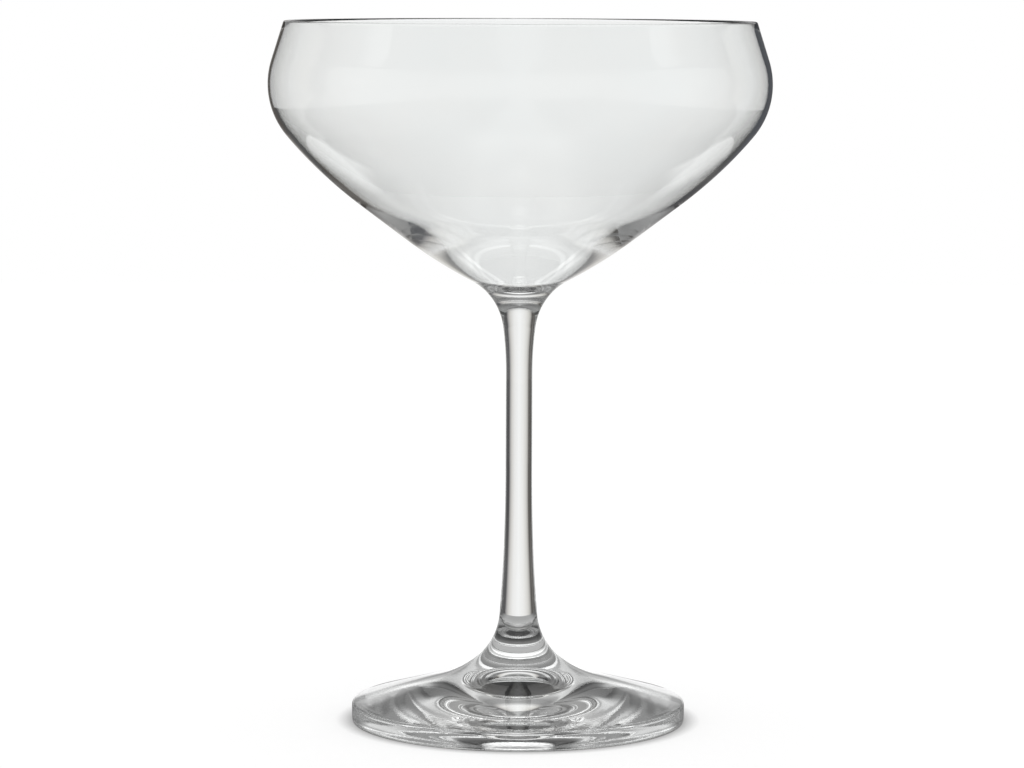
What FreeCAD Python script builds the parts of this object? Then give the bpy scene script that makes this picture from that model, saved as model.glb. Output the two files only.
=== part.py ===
# A champagne coupe in one piece of clear glass, in millimetres.
# The bowl is blown, the stem is drawn down from it and the foot is spun out of the same hot glass, so it
# is one solid of revolution. +Z is up and the origin is the middle of the ring that the foot rests on.
import FreeCAD, Part
import math
import os
import Sketcher

# Sizes in millimetres and degrees: alias in the sheet, value, and what it measures on the glass.
SIZES = (
    ("height", 155.0, "whole glass, table to rim"),
    ("bowl_diameter", 110.6, "widest part of the bowl"),
    ("rim_rise", 13.8, "rim above the widest part"),
    ("lip_lean", 17.6, "lean of the lip inwards, off upright"),
    ("shoulder_radius", 17.5, "round of the shoulder"),
    ("shoulder_sweep", 40.0, "turn of the shoulder below the widest part"),
    ("belly_radius", 95.0, "round below the shoulder"),
    ("belly_sweep", 13.0, "turn of the belly, where the straight side begins"),
    ("cup_radius", 103.0, "round below the straight side"),
    ("cup_sweep", 9.3, "turn below the straight side"),
    ("root_radius", 13.6, "hollow round from the bowl into the stem"),
    ("neck_radius", 80.0, "long hollow round at the top of the stem"),
    ("neck_sweep", 7.3, "turn at the top of the stem"),
    ("stem_diameter", 5.84, "thinnest part of the stem"),
    ("taper_radius", 412.0, "long hollow round of the lower stem"),
    ("flare_radius", 14.0, "hollow round from the stem into the foot"),
    ("flare_sweep", 47.5, "turn from the stem into the foot"),
    ("saddle_radius", 26.0, "wider hollow round on to the slope of the foot"),
    ("foot_slope", 15.5, "slope of the top of the foot"),
    ("foot_diameter", 74.0, "whole foot"),
    ("foot_side", 3.4, "upright side of the foot, from the table to its rounded upper edge"),
    ("foot_top_round", 0.9, "upper edge of the foot"),
    ("foot_bottom_round", 0.6, "lower edge of the foot"),
    ("rest_ring", 3.0, "width of the flat ring that the foot rests on"),
    ("kick_height", 1.2, "hollow under the foot, where it is highest"),
    ("kick_radius", 100.0, "round of that hollow"),
    ("dimple_edge", 1.8, "rounded lip of the dimple under the stem"),
    ("dimple_radius", 10.0, "round of the dimple"),
    ("dimple_sweep", 62.0, "turn of the dimple, from its lip to its middle"),
    ("wall", 1.1, "glass at the rim and the shoulder"),
    ("wall_swell", 4.0, "extra turn of the inside's belly, which thickens the glass towards the stem"),
    ("floor_radius", 18.0, "round at the bottom of the inside"),
)

# Turns of the pen, and the sketcher's own numbers for its origin, its two axes and the points of a piece.
LEFT, RIGHT = 1, -1
ORIGIN = (-1, 1)
LEVEL_AXIS, UPRIGHT_AXIS = range(-1, -3, -1)
START, END, CENTRE = range(1, 4)

# Formulas on the sheet that several parts of the section share.
SHOULDER_AXIS = "(Sizes.bowl_diameter / 2 - Sizes.shoulder_radius)"
WIDEST = "(Sizes.height - Sizes.rim_rise)"
LIP_FOOT = (
    SHOULDER_AXIS + " + Sizes.shoulder_radius * cos(Sizes.lip_lean)",
    WIDEST + " + Sizes.shoulder_radius * sin(Sizes.lip_lean)",
)
SHOULDER_TURN = "Sizes.lip_lean + Sizes.shoulder_sweep"
FOOT_RADIUS = "Sizes.foot_diameter / 2"


def make_sheet(doc):
    """Puts the sizes into a spreadsheet, one row each: alias, value and note."""
    sheet = doc.addObject("Spreadsheet::Sheet", "Sizes")
    for row, (alias, value, note) in enumerate(SIZES, start=1):
        sheet.set(f"A{row}", alias)
        sheet.set(f"B{row}", str(value))
        sheet.set(f"C{row}", note)
        sheet.setAlias(f"B{row}", alias)
    doc.recompute()


class Outline:
    """A sketch on the body's XZ plane, drawn with a pen as lines and arcs that run smoothly into each other.

    The pen gives the solver a first guess. Each dimension is a constraint bound to cells of the sheet.
    """

    def __init__(self, body, name):
        self.sketch = body.newObject("Sketcher::SketchObject", name)
        plane = [part for part in body.Origin.OriginFeatures if part.Role == "XZ_Plane"][0]
        self.sketch.AttachmentSupport = [(plane, "")]
        self.sketch.MapMode = "FlatFace"

    def value(self, formula):
        return float(self.sketch.evalExpression(formula))

    def start(self, across, up, heading, end=None):
        """Puts the pen down at a place and heading, in degrees left of +X, to run on from an end if there is one."""
        self.pen = FreeCAD.Vector(self.value(across), self.value(up), 0)
        self.heading = self.value(heading)
        self.end = end

    def join(self, piece, first, last):
        """Makes a new piece leave the end of the last one smoothly."""
        if self.end:
            self.sketch.addConstraint(Sketcher.Constraint("Tangent", *self.end, piece, first))
        self.end = (piece, last)
        return piece

    def line(self, length):
        """Draws a line of about that length, which the solver settles."""
        angle = math.radians(self.heading)
        tip = self.pen + FreeCAD.Vector(math.cos(angle), math.sin(angle), 0) * length
        piece = self.sketch.addGeometry(Part.LineSegment(self.pen, tip))
        self.pen = tip
        return self.join(piece, START, END)

    def line_to(self, end):
        """Draws a line from the pen to an end of an earlier stretch, smooth there too."""
        piece = self.sketch.addGeometry(Part.LineSegment(self.pen, self.sketch.getPoint(*end)))
        self.rule("Tangent", *end, piece, END)
        return self.join(piece, START, END)

    def arc(self, turn, radius, sweep=None, guess=None):
        """Draws an arc that turns left or right. With a guess in place of its sweep, the solver settles it."""
        size = self.value(radius)
        degrees = self.value(sweep or guess)
        side = math.radians(self.heading + 90 * turn)
        centre = self.pen + FreeCAD.Vector(math.cos(side), math.sin(side), 0) * size
        here = side + math.pi
        there = here + math.radians(degrees) * turn
        circle = Part.Circle(centre, FreeCAD.Vector(0, 0, 1), size)
        piece = self.sketch.addGeometry(Part.ArcOfCircle(circle, min(here, there), max(here, there)))
        self.pen = centre + FreeCAD.Vector(math.cos(there), math.sin(there), 0) * size
        self.heading += degrees * turn
        self.size("Radius", (piece,), radius)
        if sweep:
            self.size("Angle", (piece,), sweep)
        return self.join(piece, *((START, END) if turn == LEFT else (END, START)))

    def size(self, kind, where, formula):
        """Adds a dimension and binds it to a formula on the sheet."""
        value = self.value(formula)
        guess = math.radians(value) if kind == "Angle" else value
        index = self.sketch.addConstraint(Sketcher.Constraint(kind, *where, guess))
        self.sketch.setExpression(f"Constraints[{index}]", formula)

    def place(self, point, across=None, up=None):
        """Gives a point its distance from the axis, its height, or both."""
        if across:
            self.size("DistanceX", ORIGIN + point, across)
        if up:
            self.size("DistanceY", ORIGIN + point, up)

    def rule(self, kind, *where):
        self.sketch.addConstraint(Sketcher.Constraint(kind, *where))

    def halfway(self, middle, *ends):
        """Keeps a point's height halfway between two others, by upright construction lines of equal length."""
        level = self.sketch.getPoint(*middle).y
        halves = []
        for end in ends:
            tip = self.sketch.getPoint(*end)
            half = self.sketch.addGeometry(Part.LineSegment(tip, FreeCAD.Vector(tip.x, level, 0)), True)
            self.rule("Coincident", *end, half, START)
            self.rule("Vertical", half)
            self.rule("Horizontal", half, END, *middle)
            halves.append(half)
        self.rule("Equal", *halves)

    def spoke(self, end):
        """Draws a level line from an end of the outline to the axis."""
        tip = self.sketch.getPoint(*end)
        piece = self.sketch.addGeometry(Part.LineSegment(tip, FreeCAD.Vector(0, tip.y, 0)))
        self.rule("Coincident", *end, piece, START)
        self.rule("Horizontal", piece)
        return piece, END

    def close_on_axis(self, *ends):
        """Brings both ends of the outline to the axis and closes it along there."""
        for end in ends:
            self.rule("PointOnObject", *end, UPRIGHT_AXIS)
        axis = self.sketch.addGeometry(Part.LineSegment(*(self.sketch.getPoint(*end) for end in ends)))
        for end, tip in zip(ends, (START, END)):
            self.rule("Coincident", *end, axis, tip)


def draw_rim_and_inside(run):
    """Draws up the lip, over the fired rim, and down the inside to the middle of its floor."""
    run.start(*LIP_FOOT, "90 + Sizes.lip_lean")
    lip = run.line(8)
    run.size("Angle", (lip,), "90 + Sizes.lip_lean")
    rim = run.arc(LEFT, "Sizes.wall / 2", guess="180")
    run.place((rim, CENTRE), up="Sizes.height - Sizes.wall / 2")
    run.line(8)
    shoulder = run.arc(RIGHT, "Sizes.shoulder_radius - Sizes.wall", SHOULDER_TURN)
    run.place((shoulder, CENTRE), SHOULDER_AXIS, WIDEST)
    run.arc(RIGHT, "Sizes.belly_radius - Sizes.wall", "Sizes.belly_sweep + Sizes.wall_swell")
    run.line(18)
    last_turn = "90 - Sizes.shoulder_sweep - Sizes.belly_sweep - Sizes.wall_swell"
    floor = run.arc(RIGHT, "Sizes.floor_radius", guess=last_turn)
    run.rule("PointOnObject", floor, CENTRE, UPRIGHT_AXIS)
    return (lip, START), (floor, START)


def draw_bowl(run, lip):
    """Draws down the outside of the bowl, from the foot of its lip to the top of the stem."""
    run.start(*LIP_FOOT, "Sizes.lip_lean - 90", end=lip)
    shoulder = run.arc(RIGHT, "Sizes.shoulder_radius", SHOULDER_TURN)
    run.place((shoulder, CENTRE), SHOULDER_AXIS, WIDEST)
    run.arc(RIGHT, "Sizes.belly_radius", "Sizes.belly_sweep")
    run.line(13)
    run.arc(RIGHT, "Sizes.cup_radius", "Sizes.cup_sweep")
    root_sweep = "Sizes.shoulder_sweep + Sizes.belly_sweep + Sizes.cup_sweep - Sizes.neck_sweep"
    return run.arc(LEFT, "Sizes.root_radius", root_sweep)


def draw_stem(run, root):
    """Draws down the stem, straight to its middle and wider below, on to the slope of the foot."""
    run.arc(LEFT, "Sizes.neck_radius", "Sizes.neck_sweep")
    straight = run.line(22)
    run.place((straight, START), across="Sizes.stem_diameter / 2")
    taper = run.arc(LEFT, "Sizes.taper_radius", guess="4.4")
    run.arc(LEFT, "Sizes.flare_radius", "Sizes.flare_sweep")
    saddle = run.arc(LEFT, "Sizes.saddle_radius", guess="85 - Sizes.flare_sweep - Sizes.foot_slope")
    run.halfway((straight, END), (root, END), (taper, END))
    return saddle, END


def draw_foot(run, saddle):
    """Draws the foot from its upright side: down to the table, and up over its edge to the stem."""
    run.start(FOOT_RADIUS, "Sizes.foot_side", "-90")
    side = run.line(2.8)
    run.rule("Vertical", side)
    run.place((side, START), FOOT_RADIUS, "Sizes.foot_side")
    under = run.arc(RIGHT, "Sizes.foot_bottom_round", guess="90")
    run.rule("Vertical", under, START, under, CENTRE)
    run.rule("PointOnObject", under, START, LEVEL_AXIS)
    run.start(FOOT_RADIUS, "Sizes.foot_side", "90", end=(side, START))
    run.arc(LEFT, "Sizes.foot_top_round", "90 - Sizes.foot_slope")
    run.line_to(saddle)
    return under, START


def draw_section(body):
    """Draws half of the glass cut open, less the hollow under the foot."""
    run = Outline(body, "glass_section")
    lip, floor = draw_rim_and_inside(run)
    root = draw_bowl(run, lip)
    saddle = draw_stem(run, root)
    run.close_on_axis(run.spoke(draw_foot(run, saddle)), floor)
    return run.sketch


def draw_underside(body):
    """Draws the shallow hollow inside the ring that the foot stands on, and the dimple in the middle of it."""
    run = Outline(body, "underside_profile")
    ring = f"{FOOT_RADIUS} - Sizes.foot_bottom_round - Sizes.rest_ring"
    run.start(ring, "0", "171")
    hollow = run.arc(LEFT, "Sizes.kick_radius", guess="12")
    run.place((hollow, START), across=ring)
    run.rule("PointOnObject", hollow, START, LEVEL_AXIS)
    run.size("DistanceY", (hollow, CENTRE) + ORIGIN, "Sizes.kick_radius - Sizes.kick_height")
    run.arc(RIGHT, "Sizes.dimple_edge", guess="Sizes.dimple_sweep + 3")
    dimple = run.arc(LEFT, "Sizes.dimple_radius", "Sizes.dimple_sweep")
    run.rule("PointOnObject", dimple, CENTRE, UPRIGHT_AXIS)
    run.close_on_axis((dimple, END), run.spoke((hollow, START)))
    return run.sketch


def revolve(body, kind, name, profile):
    """Turns a profile once round the glass's axis, to add glass or to take it away."""
    feature = body.newObject(kind, name)
    feature.Profile = (profile, [""])
    feature.ReferenceAxis = (profile, ["V_Axis"])
    feature.Angle = 360
    body.Document.recompute()
    return feature


def make_glass(doc):
    """Builds the coupe from its section and hollows its foot."""
    body = doc.addObject("PartDesign::Body", "coupe_glass")
    glass = revolve(body, "PartDesign::Revolution", "blown_glass", draw_section(body))
    kicked = revolve(body, "PartDesign::Groove", "foot_kick", draw_underside(body))
    if not kicked.Shape.Volume < glass.Shape.Volume:
        raise RuntimeError("the hollow under the foot cut nothing")
    return body


def check(doc, parts):
    """Stops the build on a failed object or a bad shape."""
    for item in doc.Objects:
        if "Invalid" in item.State or "Error" in item.State:
            raise RuntimeError(f"{item.Name} failed: {item.State}")
        if item.TypeId == "Sketcher::SketchObject" and not item.FullyConstrained:
            raise RuntimeError(f"{item.Name} isn't fully constrained")
    for part in parts:
        if part.Shape.isNull() or not part.Shape.isValid() or len(part.Shape.Solids) != 1:
            raise RuntimeError(f"{part.Label} is not one valid solid")


doc = FreeCAD.newDocument("coupe")
make_sheet(doc)
parts = [make_glass(doc)]
doc.recompute()
check(doc, parts)
os.makedirs("parts", exist_ok=True)
for part in parts:
    part.Shape.exportStep(os.path.join("parts", part.Label + ".step"))
    box = part.Shape.optimalBoundingBox()
    print(f"{part.Label}: {box.XLength:.2f} x {box.YLength:.2f} x {box.ZLength:.2f} mm, {part.Shape.Volume / 1000:.2f} ml")
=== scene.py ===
# A champagne coupe in clear glass on a pale studio floor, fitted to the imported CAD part.
import math

import bpy
import numpy as np
from mathutils import Matrix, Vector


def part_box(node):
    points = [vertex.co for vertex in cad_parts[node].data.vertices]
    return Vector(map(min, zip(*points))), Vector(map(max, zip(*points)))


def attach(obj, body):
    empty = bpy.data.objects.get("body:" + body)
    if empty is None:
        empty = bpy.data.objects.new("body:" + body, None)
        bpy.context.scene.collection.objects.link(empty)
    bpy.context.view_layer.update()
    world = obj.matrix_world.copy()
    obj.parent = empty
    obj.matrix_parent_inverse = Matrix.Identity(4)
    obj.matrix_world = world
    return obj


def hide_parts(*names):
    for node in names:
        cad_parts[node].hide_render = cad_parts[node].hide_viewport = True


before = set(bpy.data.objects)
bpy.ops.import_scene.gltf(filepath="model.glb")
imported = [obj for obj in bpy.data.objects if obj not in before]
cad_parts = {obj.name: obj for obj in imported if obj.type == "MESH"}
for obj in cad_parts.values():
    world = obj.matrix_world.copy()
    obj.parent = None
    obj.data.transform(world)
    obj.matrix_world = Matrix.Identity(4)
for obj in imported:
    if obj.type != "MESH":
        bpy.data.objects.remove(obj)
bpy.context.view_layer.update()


# The coupe: one piece of clear crystal, a blown bowl with a stem drawn down from it and a spun foot.
# It is all fire polished, so every face is smooth and nothing on it is ground or cut.
# Its sizes are in millimetres and degrees, and the height and the bowl's radius are the CAD node's own.
MM = 0.001
node_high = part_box("coupe_glass")[1]
HEIGHT = node_high.z / MM
BOWL_RADIUS = node_high.x / MM
RIM_RISE, LIP_LEAN = 13.8, 17.6
SHOULDER_RADIUS, SHOULDER_TURN = 17.5, 40.0
BELLY_RADIUS, BELLY_TURN = 95.0, 13.0
CUP_RADIUS, CUP_TURN = 103.0, 9.3
ROOT_RADIUS = 13.6
NECK_RADIUS, NECK_TURN = 80.0, 7.3
STEM_RADIUS = 2.92
TAPER_RADIUS, TAPER_TURN = 412.0, 4.46
FLARE_RADIUS, FLARE_TURN = 14.0, 47.5
SADDLE_RADIUS = 26.0
FOOT_SLOPE, FOOT_RADIUS, FOOT_SIDE = 15.5, 37.0, 3.4
FOOT_TOP_ROUND, FOOT_BOTTOM_ROUND = 0.9, 0.6
REST_RING, KICK_HEIGHT, KICK_RADIUS = 3.0, 1.2, 100.0
DIMPLE_EDGE, DIMPLE_RADIUS, DIMPLE_TURN = 1.8, 10.0, 62.0
WALL, WALL_SWELL, FLOOR_RADIUS = 1.1, 4.0, 18.0
STEP = 0.02
SOFT_BODY, SOFT_HOLLOW, SOFT_EDGE = 2.4, 0.4, 0.2
RUN_POINTS = (130, 13, 170, 34, 64)
ROUNDS = 240


def stretch(start, heading, steps, soften):
    """Points along a run of smoothly joined arcs and lines.

    Each step is (length, turn in degrees to the left). Its bend is turn over length, and the bends are
    averaged over the softening length. The heading is the running sum of the bends, and the place is the
    running sum of the heading's cosine and sine.
    """
    lengths, turns = np.array(steps).T
    counts = np.maximum(np.round(lengths / STEP).astype(int), 1)
    pace = np.repeat(lengths / counts, counts)
    bend = np.repeat(np.radians(turns) / lengths, counts)
    window = np.hanning(max(int(soften / STEP), 1) + 2)[1:-1]
    padded = np.pad(bend, len(window) // 2, mode="edge")
    bend = np.convolve(padded, window / window.sum(), mode="same")[len(window) // 2:][:len(pace)]
    turned = math.radians(heading) + np.cumsum(bend * pace) - bend * pace / 2
    places = np.cumsum(np.stack((np.cos(turned), np.sin(turned)), 1) * pace[:, None], 0)
    return np.vstack((start, np.array(start) + places))


def arc(radius, turn):
    """A step that bends round a radius: its length is the radius times the turn.

    A turn to the left is positive and one to the right is negative.
    """
    return radius * math.radians(abs(turn)), turn


def reach(heading, *steps):
    """How far across and up a run of arcs goes.

    Across is the sum of each radius times the rise of the heading's sine, and up is the sum of each radius
    times the fall of the heading's cosine.
    """
    lengths, turns = np.array(steps).T
    ends = np.radians(heading + np.cumsum(turns))
    starts = ends - np.radians(turns)
    radii = lengths / np.radians(turns)
    across, up = radii * (np.sin(ends) - np.sin(starts)), radii * (np.cos(starts) - np.cos(ends))
    return np.array((across.sum(), up.sum()))


def section():
    """Half of the glass cut open, in five runs from the middle of the bowl's floor round to the middle
    underneath: the inside, the rim, the outside, the foot's edge and the hollow under the foot.

    Every arc has its own radius and turn. The lengths of the straight stretches between them close the sum:
    the lip's from the rim's height, the side's from the stem's radius, the foot's from its own radius and
    the stem's from the whole height.
    """
    lean = math.radians(LIP_LEAN)
    shoulder = np.array((BOWL_RADIUS - SHOULDER_RADIUS, HEIGHT - RIM_RISE))
    out, up = np.array((math.cos(lean), math.sin(lean))), np.array((-math.sin(lean), math.cos(lean)))
    rise = HEIGHT - WALL / 2 - shoulder[1] - (SHOULDER_RADIUS - WALL / 2) * math.sin(lean)
    lip = rise / math.cos(lean)
    heading = LIP_LEAN - 90
    inner_start = shoulder + (SHOULDER_RADIUS - WALL) * out + lip * up
    rim = stretch(inner_start, 90 + LIP_LEAN, [arc(WALL / 2, -180)], 0)

    belly = [arc(SHOULDER_RADIUS, -LIP_LEAN - SHOULDER_TURN), arc(BELLY_RADIUS, -BELLY_TURN)]
    root = [
        arc(CUP_RADIUS, -CUP_TURN),
        arc(ROOT_RADIUS, SHOULDER_TURN + BELLY_TURN + CUP_TURN - NECK_TURN),
        arc(NECK_RADIUS, NECK_TURN),
    ]
    flare = [
        arc(TAPER_RADIUS, TAPER_TURN),
        arc(FLARE_RADIUS, FLARE_TURN),
        arc(SADDLE_RADIUS, 90 - FOOT_SLOPE - FLARE_TURN - TAPER_TURN),
    ]
    edge = [arc(FOOT_TOP_ROUND, FOOT_SLOPE - 90)]
    side_heading = -90 - SHOULDER_TURN - BELLY_TURN
    start = shoulder + SHOULDER_RADIUS * out + lip * up
    slant = np.array((math.cos(math.radians(side_heading)), math.sin(math.radians(side_heading))))
    bowl = start - lip * up + reach(heading, *belly) + reach(side_heading, *root)
    side = (STEM_RADIUS - bowl[0]) / slant[0]
    slope = np.array((math.cos(math.radians(FOOT_SLOPE)), -math.sin(math.radians(FOOT_SLOPE))))
    foot = reach(-90, *flare) + reach(-FOOT_SLOPE, *edge)
    run_out = (FOOT_RADIUS - STEM_RADIUS - foot[0]) / slope[0]
    straight = bowl[1] + side * slant[1] + foot[1] + run_out * slope[1] - FOOT_SIDE
    outside = stretch(
        start, heading, [(lip, 0), *belly, (side, 0), *root, (straight, 0), *flare, (run_out, 0)], SOFT_BODY
    )

    edges = stretch(
        outside[-1], -FOOT_SLOPE,
        [*edge, (FOOT_SIDE - FOOT_BOTTOM_ROUND, 0), arc(FOOT_BOTTOM_ROUND, -90), (REST_RING, 0)], SOFT_EDGE,
    )
    ring = edges[-1][0]
    lean_in = math.acos(1 - KICK_HEIGHT / KICK_RADIUS)
    lip_across = (DIMPLE_EDGE + DIMPLE_RADIUS) * math.sin(math.radians(DIMPLE_TURN))
    dip = math.asin((ring - KICK_RADIUS * math.sin(lean_in) - lip_across) / (KICK_RADIUS + DIMPLE_EDGE))
    hollow = [
        arc(KICK_RADIUS, math.degrees(lean_in + dip)),
        arc(DIMPLE_EDGE, -math.degrees(dip) - DIMPLE_TURN),
        arc(DIMPLE_RADIUS, DIMPLE_TURN),
    ]
    under = stretch(edges[-1], 180 - math.degrees(lean_in), hollow, SOFT_HOLLOW)

    inner = [
        arc(SHOULDER_RADIUS - WALL, -LIP_LEAN - SHOULDER_TURN),
        arc(BELLY_RADIUS - WALL, -BELLY_TURN - WALL_SWELL),
    ]
    fall = side_heading - WALL_SWELL
    floor = [arc(FLOOR_RADIUS, -180 - fall)]
    tip = inner_start - lip * up + reach(heading, *inner) + reach(fall, *floor)
    plain = -tip[0] / math.cos(math.radians(fall))
    inside = stretch(inner_start, heading, [(lip, 0), *inner, (plain, 0), *floor], SOFT_BODY)
    return [inside[::-1], rim, outside, edges, under]


def thinned(points, count):
    """Picks points along a run, closer together where it bends.

    They are even steps of the share of the run's length plus the share of its turning.
    """
    legs = np.diff(points, axis=0)
    length = np.hypot(*legs.T)
    turn = np.abs(np.diff(np.unwrap(np.arctan2(legs[:, 1], legs[:, 0])), prepend=np.nan))
    turn[0] = 0
    weight = length / length.sum() + turn / max(turn.sum(), 1e-9)
    along = np.concatenate(((0,), np.cumsum(weight)))
    return np.stack([np.interp(np.linspace(0, along[-1], count), along, axis) for axis in points.T], 1)


def turned_glass(name, profile):
    """A closed skin: the profile turned round the axis.

    Each point (across, up) goes to (across cos a, across sin a, up) for angles a round the axis. The first
    and last points lie on the axis and become single poles.
    """
    angles = np.linspace(0, 2 * math.pi, ROUNDS, endpoint=False)
    across, up = profile[1:-1].T
    grid = np.stack((
        np.outer(across, np.cos(angles)), np.outer(across, np.sin(angles)), np.outer(up, np.ones(ROUNDS))
    ), -1)
    points = np.vstack(((0, 0, profile[0][1]), grid.reshape(-1, 3), (0, 0, profile[-1][1])))
    rows, turn = np.arange(len(across) - 1)[:, None] * ROUNDS + 1, np.arange(ROUNDS)
    after = (turn + 1) % ROUNDS
    corners = (rows + turn, rows + ROUNDS + turn, rows + ROUNDS + after, rows + after)
    quads = np.stack(corners, -1).reshape(-1, 4)
    last = len(points) - 1
    first_fan = np.stack((np.zeros(ROUNDS, int), 1 + turn, 1 + after), -1)
    last_fan = np.stack((np.full(ROUNDS, last), last - ROUNDS + after, last - ROUNDS + turn), -1)
    mesh = bpy.data.meshes.new(name)
    mesh.from_pydata((points * MM).tolist(), [], quads.tolist() + first_fan.tolist() + last_fan.tolist())
    mesh.polygons.foreach_set("use_smooth", np.ones(len(mesh.polygons), bool))
    piece = bpy.data.objects.new(name, mesh)
    bpy.context.scene.collection.objects.link(piece)
    return piece


runs = [thinned(run, count) for run, count in zip(section(), RUN_POINTS)]
profile = np.vstack([run[:-1] for run in runs] + [runs[-1][-1:]])
profile[0][0] = profile[-1][0] = 0
profile[:, 1] = np.clip(profile[:, 1], 0, HEIGHT)
coupe = turned_glass("blown_coupe", profile)


def linear(hex_colour):
    """An sRGB hex colour as the linear values that a shader takes."""
    srgb = np.array([int(hex_colour[i:i + 2], 16) for i in (0, 2, 4)]) / 255
    return (*np.where(srgb <= 0.04045, srgb / 12.92, ((srgb + 0.055) / 1.055) ** 2.4), 1.0)


def add(tree, kind, settings=None, **links):
    """Adds a node with its settings and values, and links from other nodes' sockets."""
    node = tree.nodes.new(kind)
    for name, value in (settings or {}).items():
        setattr(node, name, value)
    for name, value in links.items():
        socket = node.inputs[int(name[1:]) if name[0] == "_" else name.replace("_", " ")]
        if isinstance(value, bpy.types.NodeSocket):
            tree.links.new(value, socket)
        else:
            socket.default_value = value
    return node


# Fire-polished lead-free crystal: it is clear, bends light by 1.52 and is a shade off white in soft clouds.
# The stem's flare and the foot are shaped with tools, which leaves low ripples about 4 mm long. They make
# the highlights wander. Under the foot and at its lower edge a fine unevenness stays that sparkles. It is
# drawn 0.7 mm coarse so that it shows.
CLOUD_SIZE, RIPPLE_SIZE, RIPPLE_HEIGHT, GRAIN_SIZE, GRAIN_HEIGHT = 0.030, 0.004, 0.000006, 0.0007, 0.000012
RIPPLE_TOP, RIPPLE_FULL, GRAIN_TOP, GRAIN_FULL = 0.032, 0.022, 0.0012, 0.0006
crystal = bpy.data.materials.new("fire_polished_crystal")
crystal.use_nodes = True
shading = crystal.node_tree
shading.nodes.clear()
place = add(shading, "ShaderNodeTexCoord").outputs["Object"]
level = add(shading, "ShaderNodeSeparateXYZ", _0=place).outputs["Z"]
cloud = add(shading, "ShaderNodeTexNoise", Vector=place, Scale=1 / CLOUD_SIZE, Detail=2.0)
batch = add(
    shading, "ShaderNodeMix", {"data_type": "RGBA"}, _0=cloud.outputs["Fac"], _6=linear("fefefd"),
    _7=linear("fafcfc"),
)
tooled = add(shading, "ShaderNodeMapRange", Value=level, From_Min=RIPPLE_TOP, From_Max=RIPPLE_FULL)
ripple = add(shading, "ShaderNodeTexNoise", Vector=place, Scale=1 / RIPPLE_SIZE, Detail=1.0)
rippled = add(
    shading, "ShaderNodeMath", {"operation": "MULTIPLY"}, _0=ripple.outputs["Fac"],
    _1=tooled.outputs["Result"],
)
low_down = add(shading, "ShaderNodeMapRange", Value=level, From_Min=GRAIN_TOP, From_Max=GRAIN_FULL)
grain = add(shading, "ShaderNodeTexNoise", Vector=place, Scale=1 / GRAIN_SIZE, Detail=2.0)
uneven = add(
    shading, "ShaderNodeMath", {"operation": "MULTIPLY"}, _0=grain.outputs["Fac"],
    _1=low_down.outputs["Result"],
)
flowed = add(shading, "ShaderNodeBump", Height=rippled.outputs[0], Strength=1.0, Distance=RIPPLE_HEIGHT)
surface = add(
    shading, "ShaderNodeBump", Height=uneven.outputs[0], Strength=1.0, Distance=GRAIN_HEIGHT,
    Normal=flowed.outputs["Normal"],
)
body = add(
    shading, "ShaderNodeBsdfPrincipled", Base_Color=batch.outputs["Result"], Metallic=0.0, Roughness=0.0,
    IOR=1.52, Transmission_Weight=1.0, Normal=surface.outputs["Normal"],
)
add(shading, "ShaderNodeOutputMaterial", Surface=body.outputs["BSDF"])
coupe.data.materials.append(crystal)
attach(coupe, "root")
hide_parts("coupe_glass")


# The floor: a matt white table top, with a thin soft painted shade where the foot stands on it.
# Seen through the glass or mirrored in it, it glows in painted shade of its own: dark under the foot and
# greyer to the sides, which stands in for a studio whose light comes mostly from behind the glass, so that
# little reaches the table there.
FLOOR_HALF_WIDTH, FLOOR_FRONT, FLOOR_BACK, FLOOR_DROP = 0.45, -0.7, 1.2, 0.00002
# How far the painted contact shade round the foot reaches, and the strength of the floor's even glow.
PAINTED_SHADE_REACH, SHOWN_GLOW = 0.004, 0.62
OPEN_FROM, OPEN_TO = 0.08, 0.12
ONE_WALL, BOTH_WALLS = 2, 4
# Painted shade on the floor as the glass shows it: by distance from the middle for straight and mirrored
# rays, and across for the sides.
CLEAR_PAINTED_SHADE = (
    (0.0, "202020"), (0.015, "282828"), (0.026, "b0b0b0"), (0.040, "c8c8c8"), (0.060, "b4b4b4"),
    (0.14, "b4b4b4"),
)
MIRRORED_PAINTED_SHADE = (
    (0.0, "404040"), (0.012, "484848"), (0.022, "808080"), (0.032, "a0a0a0"), (0.052, "a0a0a0"),
    (0.085, "d0d0d0"), (0.14, "a8a8a8"),
)
SIDE_PAINTED_SHADE = (
    (-0.14, "808080"), (-0.08, "606060"), (-0.065, "606060"), (-0.045, "b0b0b0"), (-0.03, "f0f0f0"),
    (0.03, "f0f0f0"), (0.045, "b0b0b0"), (0.06, "606060"), (0.08, "606060"), (0.14, "808080"),
)
floor_mesh = bpy.data.meshes.new("studio_floor")
floor_mesh.from_pydata(
    [(x, y, -FLOOR_DROP) for x, y in (
        (-FLOOR_HALF_WIDTH, FLOOR_FRONT), (FLOOR_HALF_WIDTH, FLOOR_FRONT),
        (FLOOR_HALF_WIDTH, FLOOR_BACK), (-FLOOR_HALF_WIDTH, FLOOR_BACK),
    )], [], [(0, 1, 2, 3)],
)
floor = bpy.data.objects.new("studio_floor", floor_mesh)
bpy.context.scene.collection.objects.link(floor)


def seen_straight(tree, faces):
    """1 for what is seen directly, or straight through that many faces of the glass or more, and else 0."""
    path = add(tree, "ShaderNodeLightPath").outputs
    crossed = add(
        tree, "ShaderNodeMath", {"operation": "GREATER_THAN"}, _0=path["Transmission Depth"], _1=faces - 0.5
    )
    plain = add(tree, "ShaderNodeMath", {"operation": "LESS_THAN"}, _0=path["Glossy Depth"], _1=0.5)
    through = add(
        tree, "ShaderNodeMath", {"operation": "MULTIPLY"}, _0=crossed.outputs[0], _1=plain.outputs[0]
    )
    return add(
        tree, "ShaderNodeMath", {"operation": "MAXIMUM"}, _0=path["Is Camera Ray"], _1=through.outputs[0]
    ).outputs[0]


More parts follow.
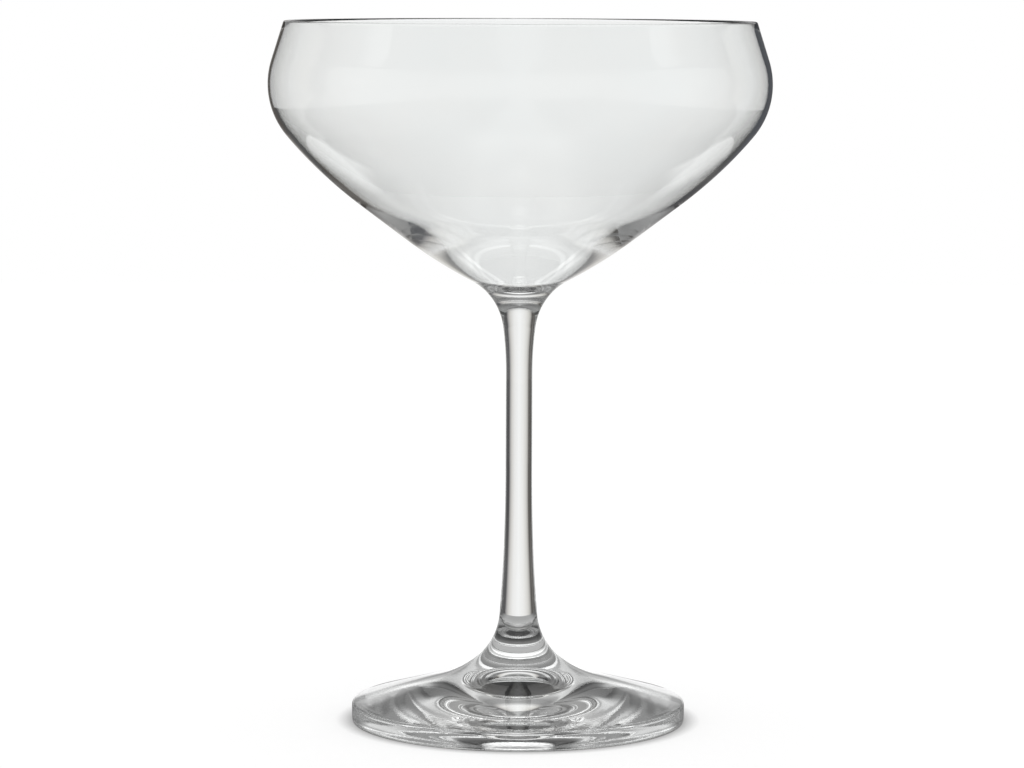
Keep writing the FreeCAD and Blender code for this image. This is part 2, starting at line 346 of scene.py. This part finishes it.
def tones(tree, value, stops):
    """A colour that changes evenly with a value, from one stop of (value, sRGB hex) to the next."""
    start, end = stops[0][0], stops[-1][0]
    along = add(tree, "ShaderNodeMapRange", Value=value, From_Min=start, From_Max=end)
    ramp = add(tree, "ShaderNodeValToRGB", _0=along.outputs["Result"])
    marks = ramp.color_ramp.elements
    while len(marks) < len(stops):
        marks.new(1.0)
    for mark, (at, colour) in zip(marks, stops):
        mark.position = (at - start) / (end - start)
        mark.color = linear(colour)
    return ramp.outputs["Color"]


table_top = bpy.data.materials.new("white_table_top")
table_top.use_nodes = True
shading = table_top.node_tree
shading.nodes.clear()
place = add(shading, "ShaderNodeTexCoord").outputs["Object"]
away = add(shading, "ShaderNodeVectorMath", {"operation": "LENGTH"}, _0=place).outputs["Value"]
across = add(shading, "ShaderNodeSeparateXYZ", _0=place).outputs["X"]
straight = seen_straight(shading, ONE_WALL)
# The floor's painted shade for glass rays: tones by distance, darkened towards the sides, and plain white
# further out.
painted_ring_shade = add(
    shading, "ShaderNodeMix", {"data_type": "RGBA"}, _0=straight, _6=tones(shading, away, MIRRORED_PAINTED_SHADE),
    _7=tones(shading, away, CLEAR_PAINTED_SHADE),
)
painted_table_shade = add(
    shading, "ShaderNodeVectorMath", {"operation": "MULTIPLY"}, _0=painted_ring_shade.outputs["Result"],
    _1=tones(shading, across, SIDE_PAINTED_SHADE),
)
beyond = add(shading, "ShaderNodeMapRange", Value=away, From_Min=OPEN_FROM, From_Max=OPEN_TO)
opened = add(shading, "ShaderNodeMath", {"operation": "MULTIPLY"}, _0=beyond.outputs["Result"], _1=straight)
painted_shade_in_glass = add(
    shading, "ShaderNodeMix", {"data_type": "RGBA"}, _0=opened.outputs[0], _6=painted_table_shade.outputs[0],
    _7=linear("ffffff"),
)
in_glass = add(shading, "ShaderNodeEmission", Color=painted_shade_in_glass.outputs["Result"], Strength=1.0)
# Painted contact shade: ambient occlusion within a few millimetres of the foot darkens the floor's colour
# and cuts its glow.
painted_contact_shade = add(shading, "ShaderNodeAmbientOcclusion", {"samples": 8}, Distance=PAINTED_SHADE_REACH).outputs["AO"]
painted_shade_colour = add(
    shading, "ShaderNodeMix", {"data_type": "RGBA"}, _0=painted_contact_shade, _6=linear("484644"), _7=linear("a8a8a8")
)
matt = add(shading, "ShaderNodeBsdfDiffuse", Color=painted_shade_colour.outputs["Result"])
shown = add(shading, "ShaderNodeMath", {"operation": "MULTIPLY"}, _0=painted_contact_shade, _1=SHOWN_GLOW)
glow = add(shading, "ShaderNodeEmission", Color=linear("ffffff"), Strength=shown.outputs[0])
direct = add(shading, "ShaderNodeAddShader", _0=matt.outputs[0], _1=glow.outputs[0])
diffuse_ray = add(shading, "ShaderNodeLightPath").outputs["Is Diffuse Ray"]
lit = add(shading, "ShaderNodeMixShader", _0=diffuse_ray, _1=in_glass.outputs[0], _2=matt.outputs[0])
total = add(
    shading, "ShaderNodeMixShader", _0=seen_straight(shading, BOTH_WALLS), _1=lit.outputs[0],
    _2=direct.outputs[0],
)
add(shading, "ShaderNodeOutputMaterial", Surface=total.outputs[0])
floor_mesh.materials.append(table_top)


# The backdrop: a low curved screen and an upright sheet of paper close behind the glass, which glow with
# painted light, white in the middle, and painted shade, dark grey towards the sides. Only the glass sees
# them, as the dark edges of its stem and bowl.
# What is mirrored in the foot sees the screen's lower part in painted reflection bands of its own, by
# azimuth and by height.
SCREEN_RADIUS, SCREEN_HEIGHT, SCREEN_TURN, SCREEN_POINTS = 0.075, 0.107, 80.0, 65
# Painted light on the curved screen by azimuth: white in the middle, painted dark grey shade towards the
# sides.
SCREEN_PAINTED_LIGHT = (
    (-80, "d8d8d8"), (-66, "c0c0c0"), (-57, "585653"), (-52, "504d4a"), (-44, "6a6764"), (-36.3, "504d4a"),
    (-32, "8a8784"), (-28, "bcbab6"), (-22, "dcdad6"), (-12, "f3f2f0"), (0, "fcfcfc"), (12, "f3f2f1"),
    (21, "dbd9d6"), (25.5, "c6c3c0"), (29.7, "a5a3a3"), (35, "565555"), (44, "4c4c4e"), (52, "666564"),
    (57, "4a4a4c"), (66, "c0c0c0"), (80, "d8d8d8"),
)
# Painted reflection for the foot: the lower screen's tones by azimuth and by height, seen only by mirrored
# rays.
LOW_PAINTED_REFLECTION = (
    (-80, "585858"), (-60, "585858"), (-52, "606060"), (-46, "808080"), (-41, "b0b0b0"), (-36, "d8d8d8"),
    (-28, "c8c8c8"), (-20, "c8c8c8"), (-12, "e4e4e4"), (0, "ffffff"), (12, "e4e4e4"), (20, "c8c8c8"),
    (28, "c8c8c8"), (36, "d8d8d8"), (41, "b0b0b0"), (46, "808080"), (52, "606060"), (60, "585858"),
    (80, "585858"),
)
LOW_PAINTED_BANDS = (
    (0.0, "ffffff"), (0.009, "ffffff"), (0.012, "a8a8a8"), (0.016, "a8a8a8"), (0.0185, "d4d4d4"),
    (0.026, "d4d4d4"), (0.031, "989898"), (0.042, "707070"), (0.058, "787878"),
)
LOW_TOP, LOW_STRENGTH, STEM_TOP = 0.075, 2.0, 0.094
SHEET_LEFT, SHEET_RIGHT, SHEET_TOP = (-0.095, 0.108), (0.095, 0.074), 0.165
# Painted light on the upright sheet across it: white in the middle, painted dark grey shade at the sides.
SHEET_PAINTED_LIGHT = (
    (-0.095, "504d4a"), (-0.077, "504d4a"), (-0.064, "8a8784"), (-0.054, "bcbab6"), (-0.040, "dcdad6"),
    (0.0, "fcfcfc"), (0.033, "dbd9d6"), (0.040, "c6c3c0"), (0.047, "a5a3a3"), (0.056, "5e5e62"),
    (0.075, "505256"), (0.095, "505256"),
)


def azimuth(tree, place):
    """The angle round the glass in degrees, 0 straight behind it and positive to the right: the arctangent
    of x over y."""
    angle = add(tree, "ShaderNodeMath", {"operation": "ARCTAN2"}, _0=place["X"], _1=place["Y"])
    return add(
        tree, "ShaderNodeMath", {"operation": "MULTIPLY"}, _0=angle.outputs[0], _1=180 / math.pi
    ).outputs[0]


def screen_painted_glow(tree, place):
    """The curved screen's glow, and which rays pass through it.

    Its tone goes by azimuth. For rays mirrored in the glass, the lower part shows a painted reflection: its
    tone is the product of one by azimuth and one by height. Rays straight through both walls of the bowl
    pass, and above the stem so do rays straight through one wall.
    """
    angle, one_wall = azimuth(tree, place), seen_straight(tree, ONE_WALL)
    whole = add(tree, "ShaderNodeEmission", Color=tones(tree, angle, SCREEN_PAINTED_LIGHT), Strength=1.0)
    # The painted reflection: the lower part's tone by height times its tone by azimuth.
    painted_reflection_tone = add(
        tree, "ShaderNodeVectorMath", {"operation": "MULTIPLY"}, _0=tones(tree, place["Z"], LOW_PAINTED_BANDS),
        _1=tones(tree, angle, LOW_PAINTED_REFLECTION),
    )
    low = add(tree, "ShaderNodeEmission", Color=painted_reflection_tone.outputs[0], Strength=LOW_STRENGTH)
    higher = add(
        tree, "ShaderNodeMapRange", Value=place["Z"], From_Min=LOW_PAINTED_BANDS[-1][0], From_Max=LOW_TOP
    ).outputs["Result"]
    plain = add(tree, "ShaderNodeMath", {"operation": "MAXIMUM"}, _0=higher, _1=one_wall)
    glow = add(tree, "ShaderNodeMixShader", _0=plain.outputs[0], _1=low.outputs[0], _2=whole.outputs[0])
    above_stem = add(tree, "ShaderNodeMath", {"operation": "GREATER_THAN"}, _0=place["Z"], _1=STEM_TOP)
    over = add(tree, "ShaderNodeMath", {"operation": "MULTIPLY"}, _0=above_stem.outputs[0], _1=one_wall)
    passing = add(
        tree, "ShaderNodeMath", {"operation": "MAXIMUM"}, _0=seen_straight(tree, BOTH_WALLS),
        _1=over.outputs[0],
    )
    return glow.outputs[0], passing.outputs[0]


def sheet_painted_glow(tree, place):
    """The upright sheet's glow, whose tone goes by the place across it, and which rays pass through it:
    those that come straight through one wall of the bowl or more."""
    glow = add(tree, "ShaderNodeEmission", Color=tones(tree, place["X"], SHEET_PAINTED_LIGHT), Strength=1.0)
    return glow.outputs[0], seen_straight(tree, ONE_WALL)


def standing_paper(name, base, low, high, paper_of):
    """A sheet that stands over a run of (x, y) points, from one height to another. Its corners are those
    points at the low height and then at the high one."""
    mesh = bpy.data.meshes.new(name)
    count = len(base)
    mesh.from_pydata(
        [(x, y, low) for x, y in base] + [(x, y, high) for x, y in base], [],
        [(n, n + 1, count + n + 1, count + n) for n in range(count - 1)],
    )
    paper = bpy.data.materials.new(name + "_paper")
    paper.use_nodes = True
    tree = paper.node_tree
    tree.nodes.clear()
    place = add(tree, "ShaderNodeTexCoord").outputs["Object"]
    glow, passing = paper_of(tree, add(tree, "ShaderNodeSeparateXYZ", _0=place).outputs)
    open_air = add(tree, "ShaderNodeBsdfTransparent")
    cover = add(tree, "ShaderNodeMixShader", _0=passing, _1=glow, _2=open_air.outputs[0])
    add(tree, "ShaderNodeOutputMaterial", Surface=cover.outputs[0])
    mesh.materials.append(paper)
    sheet = bpy.data.objects.new(name, mesh)
    bpy.context.scene.collection.objects.link(sheet)
    sheet.visible_diffuse = sheet.visible_shadow = False


turns = np.radians(np.linspace(-SCREEN_TURN, SCREEN_TURN, SCREEN_POINTS))
screen_base = [(SCREEN_RADIUS * math.sin(turn), SCREEN_RADIUS * math.cos(turn)) for turn in turns]
standing_paper("curved_screen", screen_base, 0, SCREEN_HEIGHT, screen_painted_glow)
standing_paper("upright_sheet", [SHEET_LEFT, SHEET_RIGHT], SCREEN_HEIGHT, SHEET_TOP, sheet_painted_glow)


# The room: plain white in the picture. In the glass it is light grey all round and dimmer overhead, and the
# rays straight through one wall that miss the papers see the screen's tones go on above them.
ROOM_TONES = (
    (-180, "a8a8a8"), (-140, "989898"), (-100, "b8b8b8"), (-60, "909090"), (-35, "a8a8a8"), (0, "e0e0e0"),
    (35, "a8a8a8"), (60, "909090"), (100, "b8b8b8"), (140, "989898"), (180, "a8a8a8"),
)
ABOVE_SCREEN_TONES = ((-180, "f4f4f4"), (-88, "e8e8e8"), *SCREEN_PAINTED_LIGHT, (88, "e8e8e8"), (180, "f4f4f4"))
DIM_FROM, DIM_TO, OVERHEAD = 0.1, 0.9, 0.6
world = bpy.data.worlds.new("studio_room")
bpy.context.scene.world = world
world.use_nodes = True
shading = world.node_tree
shading.nodes.clear()
around = add(shading, "ShaderNodeTexCoord").outputs["Generated"]
direction = add(shading, "ShaderNodeSeparateXYZ", _0=around).outputs
dimmed = add(
    shading, "ShaderNodeMapRange", {"interpolation_type": "SMOOTHSTEP"}, Value=direction["Z"],
    From_Min=DIM_FROM, From_Max=DIM_TO, To_Min=1.0, To_Max=OVERHEAD,
)
round_room = azimuth(shading, direction)
surroundings = add(
    shading, "ShaderNodeBackground", Color=tones(shading, round_room, ROOM_TONES),
    Strength=dimmed.outputs["Result"],
)
above_screen = add(
    shading, "ShaderNodeBackground", Color=tones(shading, round_room, ABOVE_SCREEN_TONES), Strength=1.0
)
in_glass = add(
    shading, "ShaderNodeMixShader", _0=seen_straight(shading, ONE_WALL), _1=surroundings.outputs[0],
    _2=above_screen.outputs[0],
)
white = add(shading, "ShaderNodeBackground", Color=linear("ffffff"), Strength=1.0)
plain_white = add(
    shading, "ShaderNodeMath", {"operation": "MAXIMUM"}, _0=seen_straight(shading, BOTH_WALLS),
    _1=add(shading, "ShaderNodeLightPath").outputs["Is Diffuse Ray"],
)
room = add(
    shading, "ShaderNodeMixShader", _0=plain_white.outputs[0], _1=in_glass.outputs[0], _2=white.outputs[0]
)
add(shading, "ShaderNodeOutputWorld", Surface=room.outputs[0])


# The lamp: a very broad, dim softbox overhead. It lights the floor and is neither mirrored in the glass nor
# seen through it, because the papers and the room already give the glass its light.
SOFTBOX_WIDTH, SOFTBOX_DEPTH, SOFTBOX_HEIGHT, SOFTBOX_WATTS = 1.6, 1.4, 1.4, 3.0
softbox = bpy.data.lights.new("softbox", "AREA")
softbox.shape = "RECTANGLE"
softbox.size, softbox.size_y = SOFTBOX_WIDTH, SOFTBOX_DEPTH
softbox.energy = SOFTBOX_WATTS
lamp = bpy.data.objects.new("softbox", softbox)
lamp.location = (0.0, 0.0, SOFTBOX_HEIGHT)
lamp.visible_glossy = lamp.visible_transmission = False
bpy.context.scene.collection.objects.link(lamp)


# The camera: a long lens at the photo's angle, a little above the rim and looking slightly down.
# The focal length is in pixels of a picture 1024 wide, the distances in metres and the angles in degrees.
PICTURE_WIDTH, SENSOR_WIDTH, FOCAL_PIXELS = 1024, 36.0, 3845
STAND_BACK, STAND_HEIGHT = 0.8453, 0.16568
PITCH, YAW, ROLL = 6.119, 0.107, 0.2
camera_data = bpy.data.cameras.new("studio_camera")
camera_data.sensor_width = SENSOR_WIDTH
camera_data.lens = FOCAL_PIXELS / PICTURE_WIDTH * SENSOR_WIDTH
camera_data.clip_start, camera_data.clip_end = 0.05, 50
camera = bpy.data.objects.new("studio_camera", camera_data)
camera.matrix_world = (
    Matrix.Translation((0, -STAND_BACK, STAND_HEIGHT))
    @ Matrix.Rotation(math.radians(YAW), 4, "Z")
    @ Matrix.Rotation(math.radians(90 - PITCH), 4, "X")
    @ Matrix.Rotation(math.radians(ROLL), 4, "Z")
)
bpy.context.scene.collection.objects.link(camera)
bpy.context.scene.camera = camera


# The picture: colours render as they are written, and light may cross the glass many times, because with
# few bounces the thick parts of a clear glass turn black.
BOUNCES = 64
scene = bpy.context.scene
scene.view_settings.view_transform = "Standard"
scene.cycles.max_bounces = scene.cycles.transmission_bounces = scene.cycles.glossy_bounces = BOUNCES
